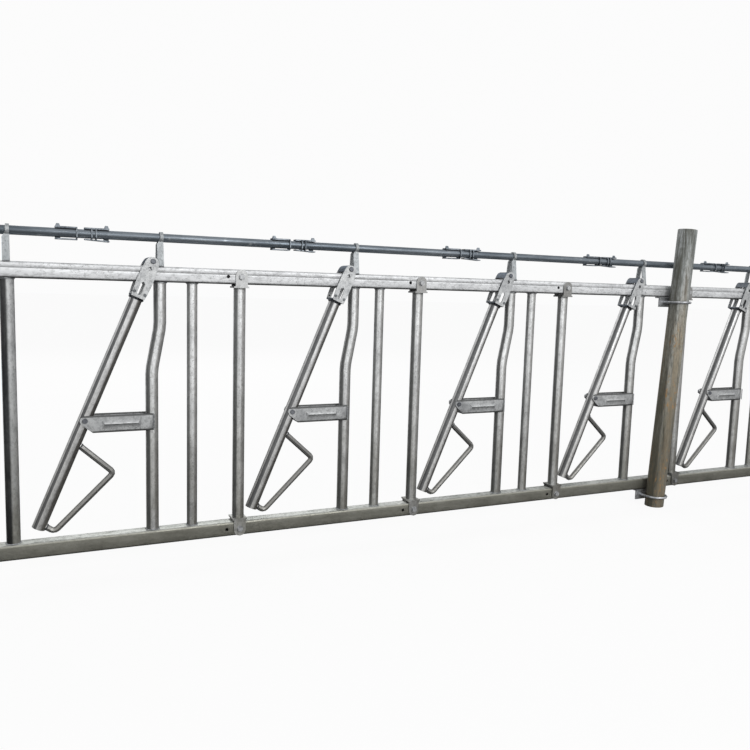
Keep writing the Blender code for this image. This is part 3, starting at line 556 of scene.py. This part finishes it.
def zinc(name, tones, shine=0.38, grain=(1, 1, 1), tilt=0.0, warm=0.0, stains_and_shade=(), off=(), off_share=0.54,
         mottle=0.40, rough_skin=0.35):
    """Hot-dip zinc, in layers. Off holds what beyond takes: past that line the colour is darker."""
    light, dark = tones
    make = Shader(name)
    cloud = make.noise(CLOUD_SCALE, 5.0, 0.62)
    runs = make.noise(RUN_SCALE, 6.0, 0.7, make.stretched(grain, tilt))
    spangle = make.cells(SPANGLE_SCALE)
    colour = zinc_ground(make, light, dark, cloud, runs, spangle)
    colour = with_blots(make, colour, dark, grain, tilt, mottle)
    away = make.beyond(*off) if off else None
    if off:
        colour = make.mix(make.times(away, off_share), colour, scaled(light, OFF_TINT))
    colour = with_specks(make, colour)
    if warm:
        colour = with_earth(make, colour, runs, warm)
    # Each mark darkens the faces turned its way: painted shade and dark reflection, and the bottom rail's
    # olive stain
    for mark in stains_and_shade:
        colour = with_stains_and_shade(make, colour, runs, mark, away)
    dull = make.plus(make.times(spangle, SPANGLE_DULL), cloud)
    rough = make.steps(dull, *DULL_RANGE, shine, shine + ZINC_DULLER)
    normal = make.bump(make.noise(SKIN_SCALE), rough_skin, SKIN_DEPTH)
    fine_skin = make.noise(FINE_SKIN_SCALE, 3.0)
    normal = make.bump(fine_skin, FINE_SKIN_SHARE * rough_skin, FINE_SKIN_DEPTH, normal)
    return make.done(colour, rough, ZINC_METALLIC, normal, EDGE)


def dark_steel(name, tones, shine, metallic=0.9, grain=(1, 1, 1)):
    """Blue-grey steel with worn streaks along it and a few pale rubbed places."""
    light, dark = tones
    make = Shader(name)
    streaks = make.noise(STEEL_STREAK_SCALE, 6.0, 0.7, make.stretched(grain))
    cloud = make.noise(STEEL_CLOUD_SCALE)
    colour = make.mix(make.steps(streaks, *STEEL_STREAK_RANGE), dark, light)
    rubbed = make.steps(make.noise(STEEL_RUB_SCALE, 5.0, 0.65), *STEEL_RUB_RANGE)
    colour = make.mix(make.times(rubbed, cloud), colour, RUBBED)
    rough = make.steps(cloud, *STEEL_CLOUD_RANGE, shine, shine + STEEL_DULLER)
    normal = make.bump(make.noise(STEEL_SKIN_SCALE), STEEL_SKIN, STEEL_SKIN_DEPTH)
    return make.done(colour, rough, metallic, normal, EDGE)


def post_ground(make, height, runs, fine):
    """Grey zinc left at the top, tan in the middle and olive stain low down."""
    colour = make.mix(make.steps(runs, *POST_RUN_RANGE), POST_DARK, POST_LIGHT)
    cloud = make.noise(POST_CLOUD_SCALE, 5.0, 0.6, make.stretched(POST_CLOUD_STRETCH))
    half_down = make.steps(height, *POST_TAN_HEIGHTS, 0.0, POST_TAN_SHARE)
    tan = make.times(half_down, make.steps(cloud, *POST_CLOUD_RANGE, 0.5, 1.0))
    colour = make.mix(tan, colour, POST_TAN)
    low_down = make.steps(height, *POST_OLIVE_HEIGHTS, 0.0, POST_OLIVE_SHARE)
    olive = make.times(low_down, make.steps(runs, *POST_OLIVE_RANGE, 1.0, 0.65))
    colour = make.mix(olive, colour, POST_OLIVE)
    return make.mix(make.times(make.steps(fine, *POST_FINE_RANGE), POST_FINE_SHARE), colour, POST_DARK)


def post_marks(make, height, colour):
    """Long dark streaks, and blooms of rust below the rail."""
    lines = make.noise(POST_LINE_SCALE, 5.0, 0.75, make.stretched(POST_LINE_STRETCH))
    colour = make.mix(make.steps(lines, *POST_LINE_RANGE, 0.0, POST_LINE_SHARE), colour, POST_STREAK)
    zone = make.steps(height, *POST_RUST_HEIGHTS)
    spots = make.noise(POST_SPOT_SCALE, 6.0, 0.75, make.stretched(POST_SPOT_STRETCH))
    patches = make.steps(make.noise(POST_BLOOM_SCALE, 3.0, 0.5), *POST_BLOOM_RANGE)
    bloom = make.times(make.steps(spots, *POST_SPOT_RANGE), patches)
    return make.mix(make.times(make.times(bloom, zone), POST_RUST_SHARE), colour, POST_RUST)


def weathered_post(name, shade_side, axis):
    """Old support tube: layers of colour by height, then dark strips along it below the rail, the first of
    them painted shade.
    """
    make = Shader(name)
    height = make.height()
    runs = make.noise(POST_RUN_SCALE, 7.0, 0.72, make.stretched(POST_RUN_STRETCH))
    fine = make.noise(POST_FINE_SCALE, 6.0, 0.7, make.stretched(POST_FINE_STRETCH))
    colour = post_marks(make, height, post_ground(make, height, runs, fine))
    under_rail = make.steps(height, *POST_STRIP_HEIGHTS)
    for middle, half, amount, tint in POST_STRIPS:
        mark = strip(shade_side, middle, half, amount, tint, axis)
        face = make.facing(mark.direction, mark.low, mark.high)
        share = make.times(face, make.steps(runs, *POST_STRIP_RANGE, amount, POST_STRIP_THIN * amount))
        colour = make.mix(make.times(share, under_rail), colour, tint)
    rough = make.steps(fine, *POST_DULL_RANGE, *POST_ROUGHNESS)
    return make.done(colour, rough, POST_METALLIC, make.bump(fine, POST_SKIN, POST_SKIN_DEPTH), EDGE)


def weld_metal(name, tones):
    """Zinc-coated weld bead: dull, mottled, ripples from its shape."""
    light, dark = tones
    make = Shader(name)
    tone = make.noise(BEAD_SCALE, 5.0, 0.65)
    colour = make.mix(make.steps(tone, *BEAD_RANGE), dark, light)
    rough = make.steps(tone, *BEAD_DULL_RANGE, *BEAD_ROUGHNESS)
    normal = make.bump(make.noise(BEAD_SKIN_SCALE, 3.0), BEAD_SKIN, BEAD_SKIN_DEPTH)
    return make.done(colour, rough, BEAD_METALLIC, normal, EDGE)


def floor_white(name):
    """Pale floor that keeps a soft shadow and meets the white background."""
    make = Shader(name)
    grain = make.noise(FLOOR_GRAIN_SCALE, 3.0, 0.5)
    tone = make.mix(grain, (FLOOR_WHITE - FLOOR_GRAIN,) * 3, (FLOOR_WHITE + FLOOR_GRAIN,) * 3)
    make.done(tone, MATT, 0.0)
    glow = make.node("ShaderNodeEmission")
    glow.inputs["Strength"].default_value = GLOW_STRENGTH
    path = make.node("ShaderNodeLightPath")
    seen = make.maths("MAXIMUM", path.outputs["Is Camera Ray"], path.outputs["Is Glossy Ray"])
    blend = make.node("ShaderNodeMixShader")
    make.feed(blend.inputs[0], make.times(seen, FLOOR_GLOW))
    make.feed(blend.inputs[1], make.surface.outputs["BSDF"])
    make.feed(blend.inputs[2], glow.outputs["Emission"])
    make.feed(make.tree.nodes["Material Output"].inputs["Surface"], blend.outputs["Shader"])
    return make.material


def smooth_all():
    """Welds each CAD mesh's split facets together for display, and shades round faces smoothly."""
    for obj in nodes.values():
        mesh = obj.data
        if "custom_normal" in mesh.attributes:
            mesh.attributes.remove(mesh.attributes["custom_normal"])
        mesh.polygons.foreach_set("use_smooth", [True] * len(mesh.polygons))
        for label in ("sharp_edge", "sharp_face"):
            if label in mesh.attributes:
                mesh.attributes.remove(mesh.attributes[label])
        joined = obj.modifiers.new("joined facets", "WELD")
        joined.merge_threshold = WELD_MERGE
        creases = obj.modifiers.new("creases", "EDGE_SPLIT")
        creases.split_angle = SMOOTH_ANGLE


def paint(names, material):
    for name in names:
        for slot in nodes[name].material_slots:
            slot.link = "OBJECT"
            slot.material = material


# Painted shade on faces turned down, as under a rail or a bracket
def under_shade(low=0.20, amount=0.90):
    return StainAndShade(UNDER, low, 0.75, amount, PAINTED_SHADE)


def paint_rails():
    """The top rail is clean in front, and the bottom rail has an olive stain there; both have painted shade
    underneath.
    """
    paint(["top_rail"], zinc("rail zinc", RAIL_ZINC, shine=0.46, grain=LEVEL, stains_and_shade=[under_shade()]))
    stain_and_under_shade = [StainAndShade(FRONT, 0.45, 0.95, 0.92, OLIVE_GRIME), under_shade()]
    low_rail = zinc("low rail zinc", LOW_RAIL_ZINC, grain=LEVEL, stains_and_shade=stain_and_under_shade, mottle=0.50)
    paint(["bottom_rail"], low_rail)


def paint_uprights():
    """Each upright has a strip of painted shade and dark reflection on one side and weaker brown-tinted
    painted shade on the other side.
    """
    plate = ((0, 0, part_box("top_rail")[0][2] - SADDLE_EDGE), TOP, -EDGE_FADE, EDGE_FADE)
    for prefix, shade_strip in UPRIGHT_STRIPS.items():
        for name in numbered(prefix):
            shade_side = shade_side_of(name)
            stains_and_shade = [strip(shade_side, *shade_strip, SIDE_SHADE_AND_REFLECTION), strip(shade_side, *FAR_STRIP, BROWN_SHADE)]
            look = zinc(f"{name} zinc", UPRIGHT_ZINC, grain=UPRIGHT, warm=0.7, stains_and_shade=stains_and_shade,
                        off=plate if prefix == "adjustable_post" else ())
            paint([name], look)


def paint_end_posts():
    """Duller uprights with one broad strip of painted shade and dark reflection."""
    for name in END_POSTS:
        stains_and_shade = [strip(shade_side_of(name), *END_POST_STRIP, PAINTED_SHADE)]
        paint([name], zinc(f"{name} zinc", END_POST_ZINC, grain=UPRIGHT, warm=0.7, stains_and_shade=stains_and_shade))


def paint_swing_bars():
    """A strip of painted shade and dark reflection and a brown-tinted painted shade side, each placed bar
    by bar as the photo shows it, and painted shade underneath.
    """
    axis = (math.sin(BAR_TILT), 0, math.cos(BAR_TILT))
    across = (math.cos(BAR_TILT), 0, -math.sin(BAR_TILT))
    for name, dark_strip, brown_side in zip(numbered("swing_bar"), BAR_STRIPS, BROWN_SIDES):
        shade_side = shade_side_of(name)
        stains_and_shade = [
            strip(shade_side, *dark_strip, BAR_SHADE_AND_REFLECTION, axis, True),
            strip(shade_side, *brown_side, BROWN_SHADE, axis, True),
            under_shade(0.30, 0.80),
        ]
        pivot = node_middle(name.replace("swing_bar", "pivot_bolt"))
        off = (pivot, across, BAR_RADIUS, BAR_RADIUS + BAR_SIDE_FADE)
        look = zinc(f"{name} zinc", BAR_ZINC, shine=0.36, grain=UPRIGHT, tilt=-BAR_TILT, warm=0.35,
                    stains_and_shade=stains_and_shade, off=off, off_share=0.92, mottle=0.25, rough_skin=0.12)
        paint([name], look)


def paint_brackets():
    """Pivot brackets have painted shade on faces turned a little down, such as the rib's lower flank, and
    on faces turned up, and a painted shadow along the top edge; head brackets have painted shade under them
    and navy painted shade on the hood side.
    """
    rib_and_top_shade = [StainAndShade(UNDER, 0.10, 0.26, 0.85, BRACKET_SHADE), StainAndShade(TOP, 0.55, 0.90, 0.95, BRACKET_SHADE)]
    # Painted shadow along the top edge: above this line the colour is darker
    edge = ((0, 0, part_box("pivot_bracket_1")[1][2] - BRACKET_EDGE), TOP, -EDGE_FADE, EDGE_FADE)
    bracket = zinc("bracket zinc", BRACKET_ZINC, shine=0.42, stains_and_shade=rib_and_top_shade, off=edge, off_share=1.0)
    paint(numbered("pivot_bracket"), bracket)
    # Navy painted shade on the side the hood faces
    hood = StainAndShade(HOOD_SIDE, 0.40, 0.80, 0.85, HOOD_SHADE)
    paint(numbered("head_bracket"), zinc("head zinc", HEAD_ZINC, shine=0.42, stains_and_shade=[under_shade(), hood]))


def paint_control():
    """The control pipe, the latches on it and the straps that carry it."""
    paint(numbered("pipe_strap"), zinc("strap zinc", STRAP_ZINC, shine=0.5, grain=UPRIGHT))
    paint(["control_pipe"], dark_steel("pipe steel", PIPE_STEEL, 0.30, metallic=0.7, grain=LEVEL))
    paint(numbered("latch"), dark_steel("latch steel", LATCH_STEEL, 0.36))


def paint_fasteners():
    bolts = zinc("bolt zinc", BOLT_ZINC, shine=0.36)
    paint(numbered("pivot_bolt") + numbered("catch_pin"), bolts)
    paint(CLAMP_PIECES, dark_steel("clamp steel", CLAMP_STEEL, 0.38))


def paint_support_post():
    """The post's lean is how much wider its box is along the row than the tube is thick."""
    low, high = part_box("support_post")
    lean = high[0] - low[0] - (high[1] - low[1])
    axis = Vector((lean, 0, high[2] - low[2])).normalized()
    paint(["support_post"], weathered_post("weathered post", shade_side_of("support_post"), axis))


def paint_part():
    paint_rails()
    paint_brackets()
    paint_control()
    paint_fasteners()
    paint_support_post()
    paint_uprights()
    paint_end_posts()
    paint_swing_bars()


def new_piece(name, mesh, body, material):
    mesh.polygons.foreach_set("use_smooth", [True] * len(mesh.polygons))
    mesh.materials.append(material)
    obj = bpy.data.objects.new(name, mesh)
    bpy.context.scene.collection.objects.link(obj)
    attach(obj, body)


def mesh_from(work, name):
    bmesh.ops.recalc_face_normals(work, faces=work.faces)
    mesh = bpy.data.meshes.new(name)
    work.to_mesh(mesh)
    work.free()
    return mesh


def rippled(i):
    """How thick a bead is at this step, as a share of its thickness."""
    fine = FINE_RIPPLE * math.sin(FINE_RIPPLE_TURN * i + FINE_RIPPLE_START)
    return 1.0 + RIPPLE * math.sin(RIPPLE_TURN * i) + fine


def bead(work, points, thickness, closed):
    """A rippled bead along the points, added to the mesh under construction."""
    count = len(points)
    rings = []
    for i, point in enumerate(points):
        before = points[i - 1] if closed or i else point
        after = points[(i + 1) % count] if closed or i + 1 < count else point
        along = (after - before).normalized()
        side = along.orthogonal().normalized()
        turn = along.cross(side)
        swell = thickness * rippled(i)
        ring = []
        for k in range(WELD_SIDES):
            angle = 2 * math.pi * k / WELD_SIDES
            ring.append(work.verts.new(point + (side * math.cos(angle) + turn * math.sin(angle)) * swell))
        rings.append(ring)
    last = count if closed else count - 1
    for i in range(last):
        here, there = rings[i], rings[(i + 1) % count]
        start = matching_side(here[0].co, there)
        for k in range(WELD_SIDES):
            quad = (here[k], here[(k + 1) % WELD_SIDES],
                    there[(start + k + 1) % WELD_SIDES], there[(start + k) % WELD_SIDES])
            work.faces.new(quad)
    if not closed:
        work.faces.new(rings[0])
        work.faces.new(rings[-1])


def matching_side(point, ring):
    return min(range(WELD_SIDES), key=lambda k: (ring[k].co - point).length_squared)


def ring_points(centre, radius, axis=Vector(TOP), segments=WELD_SEGMENTS):
    side = axis.orthogonal().normalized()
    turn = axis.cross(side).normalized()
    angles = [2 * math.pi / segments * i for i in range(segments)]
    return [centre + (side * math.cos(angle) + turn * math.sin(angle)) * radius for angle in angles]


def make_tube_welds(material):
    """A bead round each tube end that is welded to a rail."""
    low_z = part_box("bottom_rail")[1][2]
    high_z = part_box("top_rail")[0][2]
    for name in END_POSTS + numbered("spacer_tube") + numbered("neck_tube"):
        low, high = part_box(name)
        radius = (high[1] - low[1]) / 2
        foot_x = low[0] + radius
        head_x = high[0] - radius
        work = bmesh.new()
        bead(work, ring_points(Vector((foot_x, 0, low_z + WELD / 2)), radius + WELD / 2), WELD, True)
        bead(work, ring_points(Vector((head_x, 0, high_z - WELD / 2)), radius + WELD / 2), WELD, True)
        new_piece(f"weld_{name}", mesh_from(work, "weld"), "frame", material)


def straight(start, end, steps):
    return [start.lerp(end, i / steps) for i in range(steps + 1)]


def make_strap_welds(material):
    """Short beads along both feet of each strap, on the top rail."""
    for name in numbered("pipe_strap"):
        low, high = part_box(name)
        z = low[2] + WELD / 3
        work = bmesh.new()
        for y in (low[1] - WELD / 3, high[1] + WELD / 3):
            points = straight(Vector((low[0], y, z)), Vector((high[0], y, z)), STRAP_WELD_STEPS)
            bead(work, points, WELD, False)
        new_piece(f"weld_{name}", mesh_from(work, "weld"), "frame", material)


def make_bracket_welds(material):
    """Beads down both side plates of each pivot bracket where they meet the neck tube."""
    for name in numbered("pivot_bracket"):
        low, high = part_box(name)
        work = bmesh.new()
        for y in (low[1] + WELD, high[1] - WELD):
            start = Vector((high[0], y, low[2] + 2 * WELD))
            end = Vector((high[0], y, high[2] - WELD))
            bead(work, straight(start, end, BRACKET_WELD_STEPS), WELD, False)
        new_piece(f"weld_{name}", mesh_from(work, "weld"), "frame", material)


def bolt_profile(work, radius, start, end, sides, centre, groove=0.0):
    """A bar along Y, plain or with ring grooves like a thread, added to the mesh under construction."""
    steps = max(2, round(abs(end - start) / (THREAD_PITCH / 2))) if groove else 1
    rings = []
    for i in range(steps + 1):
        y = start + (end - start) * i / steps
        size = radius - (groove if i % 2 else 0.0)
        ring = []
        for k in range(sides):
            angle = 2 * math.pi * (k + 0.5) / sides
            spot = Vector((size * math.cos(angle), y, size * math.sin(angle)))
            ring.append(work.verts.new(centre + spot))
        rings.append(ring)
    for here, there in zip(rings, rings[1:]):
        for k in range(sides):
            work.faces.new((here[k], here[(k + 1) % sides], there[(k + 1) % sides], there[k]))
    work.faces.new(rings[0])
    work.faces.new(rings[-1])


def sharp_mesh(work, name):
    mesh = mesh_from(work, name)
    mesh.polygons.foreach_set("use_smooth", [True] * len(mesh.polygons))
    mesh.set_sharp_from_angle(angle=SMOOTH_ANGLE)
    return mesh


def make_saddle_bolts(material):
    """Hex bolt with washer in front of each saddle, and its nut and threaded end behind."""
    rail_middles = [node_middle("bottom_rail").z, node_middle("top_rail").z]
    hexagon = SADDLE_HEAD_WIDTH / math.sqrt(3)
    washer = SADDLE_WASHER / 2
    shank = SADDLE_BOLT / 2
    for name in numbered("adjustable_post"):
        low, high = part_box(name)
        front = low[1]
        back = high[1]
        head = front - SADDLE_WASHER_THICKNESS
        nut = back + SADDLE_WASHER_THICKNESS
        thread = nut + SADDLE_NUT_HEIGHT
        for level, z in zip(("low", "high"), rail_middles):
            centre = Vector((node_middle(name).x, 0, z))
            work = bmesh.new()
            bolt_profile(work, washer, front, head, WASHER_SIDES, centre)
            bolt_profile(work, hexagon, head, head - SADDLE_HEAD_HEIGHT, 6, centre)
            bolt_profile(work, washer, back, nut, WASHER_SIDES, centre)
            bolt_profile(work, hexagon, nut, thread, 6, centre)
            bolt_profile(work, shank, thread, thread + SADDLE_STICK_OUT, BOLT_SIDES, centre, THREAD_DEPTH)
            bolt_profile(work, shank, front, back, BOLT_SIDES, centre)
            label = f"{name}_bolt_{level}".replace("adjustable_post", "saddle")
            new_piece(label, sharp_mesh(work, label), "frame", material)


def on_bar(name, across, along):
    """A point given by its distances across and along a swing bar from its pivot."""
    pivot = node_middle(name.replace("swing_bar", "pivot_bolt"))
    x = across * math.cos(BAR_TILT) + along * math.sin(BAR_TILT)
    z = along * math.cos(BAR_TILT) - across * math.sin(BAR_TILT)
    return Vector((pivot.x + x, 0, pivot.z + z))


def make_bar_weld(name, body, material):
    """The bead under the bar's head bracket, and beads at both ends of its handle."""
    work = bmesh.new()
    up = Vector((math.sin(BAR_TILT), 0, math.cos(BAR_TILT)))
    collar = on_bar(name, 0, BAR_HEAD - COLLAR_DROP)
    bead(work, ring_points(collar, BAR_RADIUS + COLLAR_GAP, up), COLLAR_WELD, True)
    for (across, along), (turn_across, turn_along) in ROD_ENDS:
        end = on_bar(name, across, along)
        axis = on_bar(name, across + turn_across, along + turn_along) - end
        bead(work, ring_points(end, ROD_RADIUS, axis, ROD_WELD_SEGMENTS), WELD, True)
    new_piece(f"weld_{name}", mesh_from(work, "weld"), body, material)


def make_rivets(name, body, material):
    """The rivets' heads on both faces of the bar's head bracket."""
    work = bmesh.new()
    for side in (-1, 1):
        face = side * HEAD_FACE
        top = side * (HEAD_FACE + RIVET_HEIGHT)
        for across in (-RIVET_ACROSS, RIVET_ACROSS):
            bolt_profile(work, RIVET_RADIUS, face, top, RIVET_SIDES, on_bar(name, across, RIVET_ALONG))
    new_piece(f"rivets_{name}", sharp_mesh(work, "rivets"), body, material)


def make_bar_details(welds, rivets):
    for name in numbered("swing_bar"):
        body = name.replace("swing_bar", "swing_bar_assembly")
        make_bar_weld(name, body, welds)
        make_rivets(name, body, rivets)


def turned(yaw, pitch, roll):
    """Rotation of a camera that looks along +Y, turned right, tipped down and rolled."""
    ahead = Vector((math.sin(yaw), math.cos(yaw), 0))
    right = Vector((math.cos(yaw), -math.sin(yaw), 0))
    upward = Vector((0, 0, 1))
    forward = ahead * math.cos(pitch) - upward * math.sin(pitch)
    above = ahead * math.sin(pitch) + upward * math.cos(pitch)
    across = right * math.cos(roll) + above * math.sin(roll)
    top = above * math.cos(roll) - right * math.sin(roll)
    return Matrix((across, top, -forward)).transposed().to_4x4()


def make_camera():
    camera = bpy.data.cameras.new("camera")
    camera.sensor_width = SENSOR
    camera.lens = FOCAL_PIXELS / IMAGE_PIXELS * SENSOR
    camera.clip_end = CLIP_END
    obj = bpy.data.objects.new("camera", camera)
    obj.matrix_world = Matrix.Translation(CAMERA_PLACE) @ turned(CAMERA_YAW, CAMERA_PITCH, CAMERA_ROLL)
    bpy.context.scene.collection.objects.link(obj)
    bpy.context.scene.camera = obj


def soft_light(name, place, target, size, power):
    light = bpy.data.lights.new(name, "AREA")
    light.shape = "RECTANGLE"
    light.size, light.size_y = size
    light.energy = power
    obj = bpy.data.objects.new(name, light)
    obj.location = place
    obj.rotation_euler = (Vector(target) - Vector(place)).to_track_quat("-Z", "Y").to_euler()
    bpy.context.scene.collection.objects.link(obj)


def make_lights():
    middle = (Vector(cad_box[0]) + Vector(cad_box[1])) / 2
    soft_light("key", KEY_PLACE, middle, KEY_SIZE, KEY_POWER)
    soft_light("fill", FILL_PLACE, middle, FILL_SIZE, FILL_POWER)
    soft_light("back", BACK_PLACE, middle, BACK_SIZE, BACK_POWER)


def make_world():
    """Nearly white to the camera and in reflections, softer as a light."""
    world = bpy.data.worlds.new("studio")
    bpy.context.scene.world = world
    world.use_nodes = True
    tree = world.node_tree
    background = tree.nodes["Background"]
    background.inputs["Color"].default_value = (1, 1, 1, 1)
    path = tree.nodes.new("ShaderNodeLightPath")
    seen = path.outputs["Is Camera Ray"]
    for label in ("Is Glossy Ray", "Is Transmission Ray"):
        either = tree.nodes.new("ShaderNodeMath")
        either.operation = "MAXIMUM"
        tree.links.new(seen, either.inputs[0])
        tree.links.new(path.outputs[label], either.inputs[1])
        seen = either.outputs[0]
    level = tree.nodes.new("ShaderNodeMapRange")
    level.inputs["To Min"].default_value = WORLD_DIFFUSE
    level.inputs["To Max"].default_value = BACKGROUND
    tree.links.new(seen, level.inputs["Value"])
    tree.links.new(level.outputs["Result"], background.inputs["Strength"])


def make_floor():
    floor_z = cad_box[0][2] - FLOOR_DROP
    work = bmesh.new()
    bmesh.ops.create_grid(work, x_segments=1, y_segments=1, size=FLOOR_SIZE)
    mesh = mesh_from(work, "floor")
    mesh.materials.append(floor_white("floor"))
    obj = bpy.data.objects.new("floor", mesh)
    obj.location = (cad_box[1][0] / 2, 0, floor_z)
    bpy.context.scene.collection.objects.link(obj)


def flag_board(name, size, place, material, upright=False):
    """A dark studio board that only reflections show: it gives the metal its dark sides."""
    work = bmesh.new()
    bmesh.ops.create_grid(work, x_segments=1, y_segments=1, size=0.5)
    mesh = mesh_from(work, name)
    mesh.materials.append(material)
    obj = bpy.data.objects.new(name, mesh)
    obj.scale = (size[0], size[1], 1)
    obj.rotation_euler = (math.pi / 2 if upright else 0, 0, 0)
    obj.location = place
    obj.visible_camera = False
    obj.visible_diffuse = False
    obj.visible_transmission = False
    obj.visible_shadow = False
    bpy.context.scene.collection.objects.link(obj)


def make_flags():
    board = Shader("flag board")
    darker = (FLAG_DARK * (1 - FLAG_GRAIN),) * 3
    lighter = (FLAG_DARK * (1 + FLAG_GRAIN),) * 3
    material = board.done(board.mix(board.noise(FLAG_GRAIN_SCALE), darker, lighter), MATT, 0.0)
    middle_x = (cad_box[0][0] + cad_box[1][0]) / 2
    foot_z = cad_box[0][2]
    back_place = (middle_x, BACK_FLAG_BEHIND, foot_z + BACK_FLAG[1] / 2)
    flag_board("ground flag", GROUND_FLAG, (middle_x, 0, foot_z - FLOOR_DROP / 2), material)
    flag_board("back flag", BACK_FLAG, back_place, material, upright=True)


make_camera()
make_world()
make_lights()
make_floor()
make_flags()
smooth_all()
paint_part()
bead_metal = weld_metal("weld zinc", BEAD_ZINC)
make_tube_welds(bead_metal)
make_strap_welds(bead_metal)
make_bracket_welds(bead_metal)
make_bar_details(weld_metal("dark weld", DARK_BEAD), zinc("rivet zinc", RIVET_ZINC, shine=0.40))
make_saddle_bolts(zinc("fastener zinc", FASTENER_ZINC, shine=0.40))

bpy.context.scene.view_settings.view_transform = "Standard"
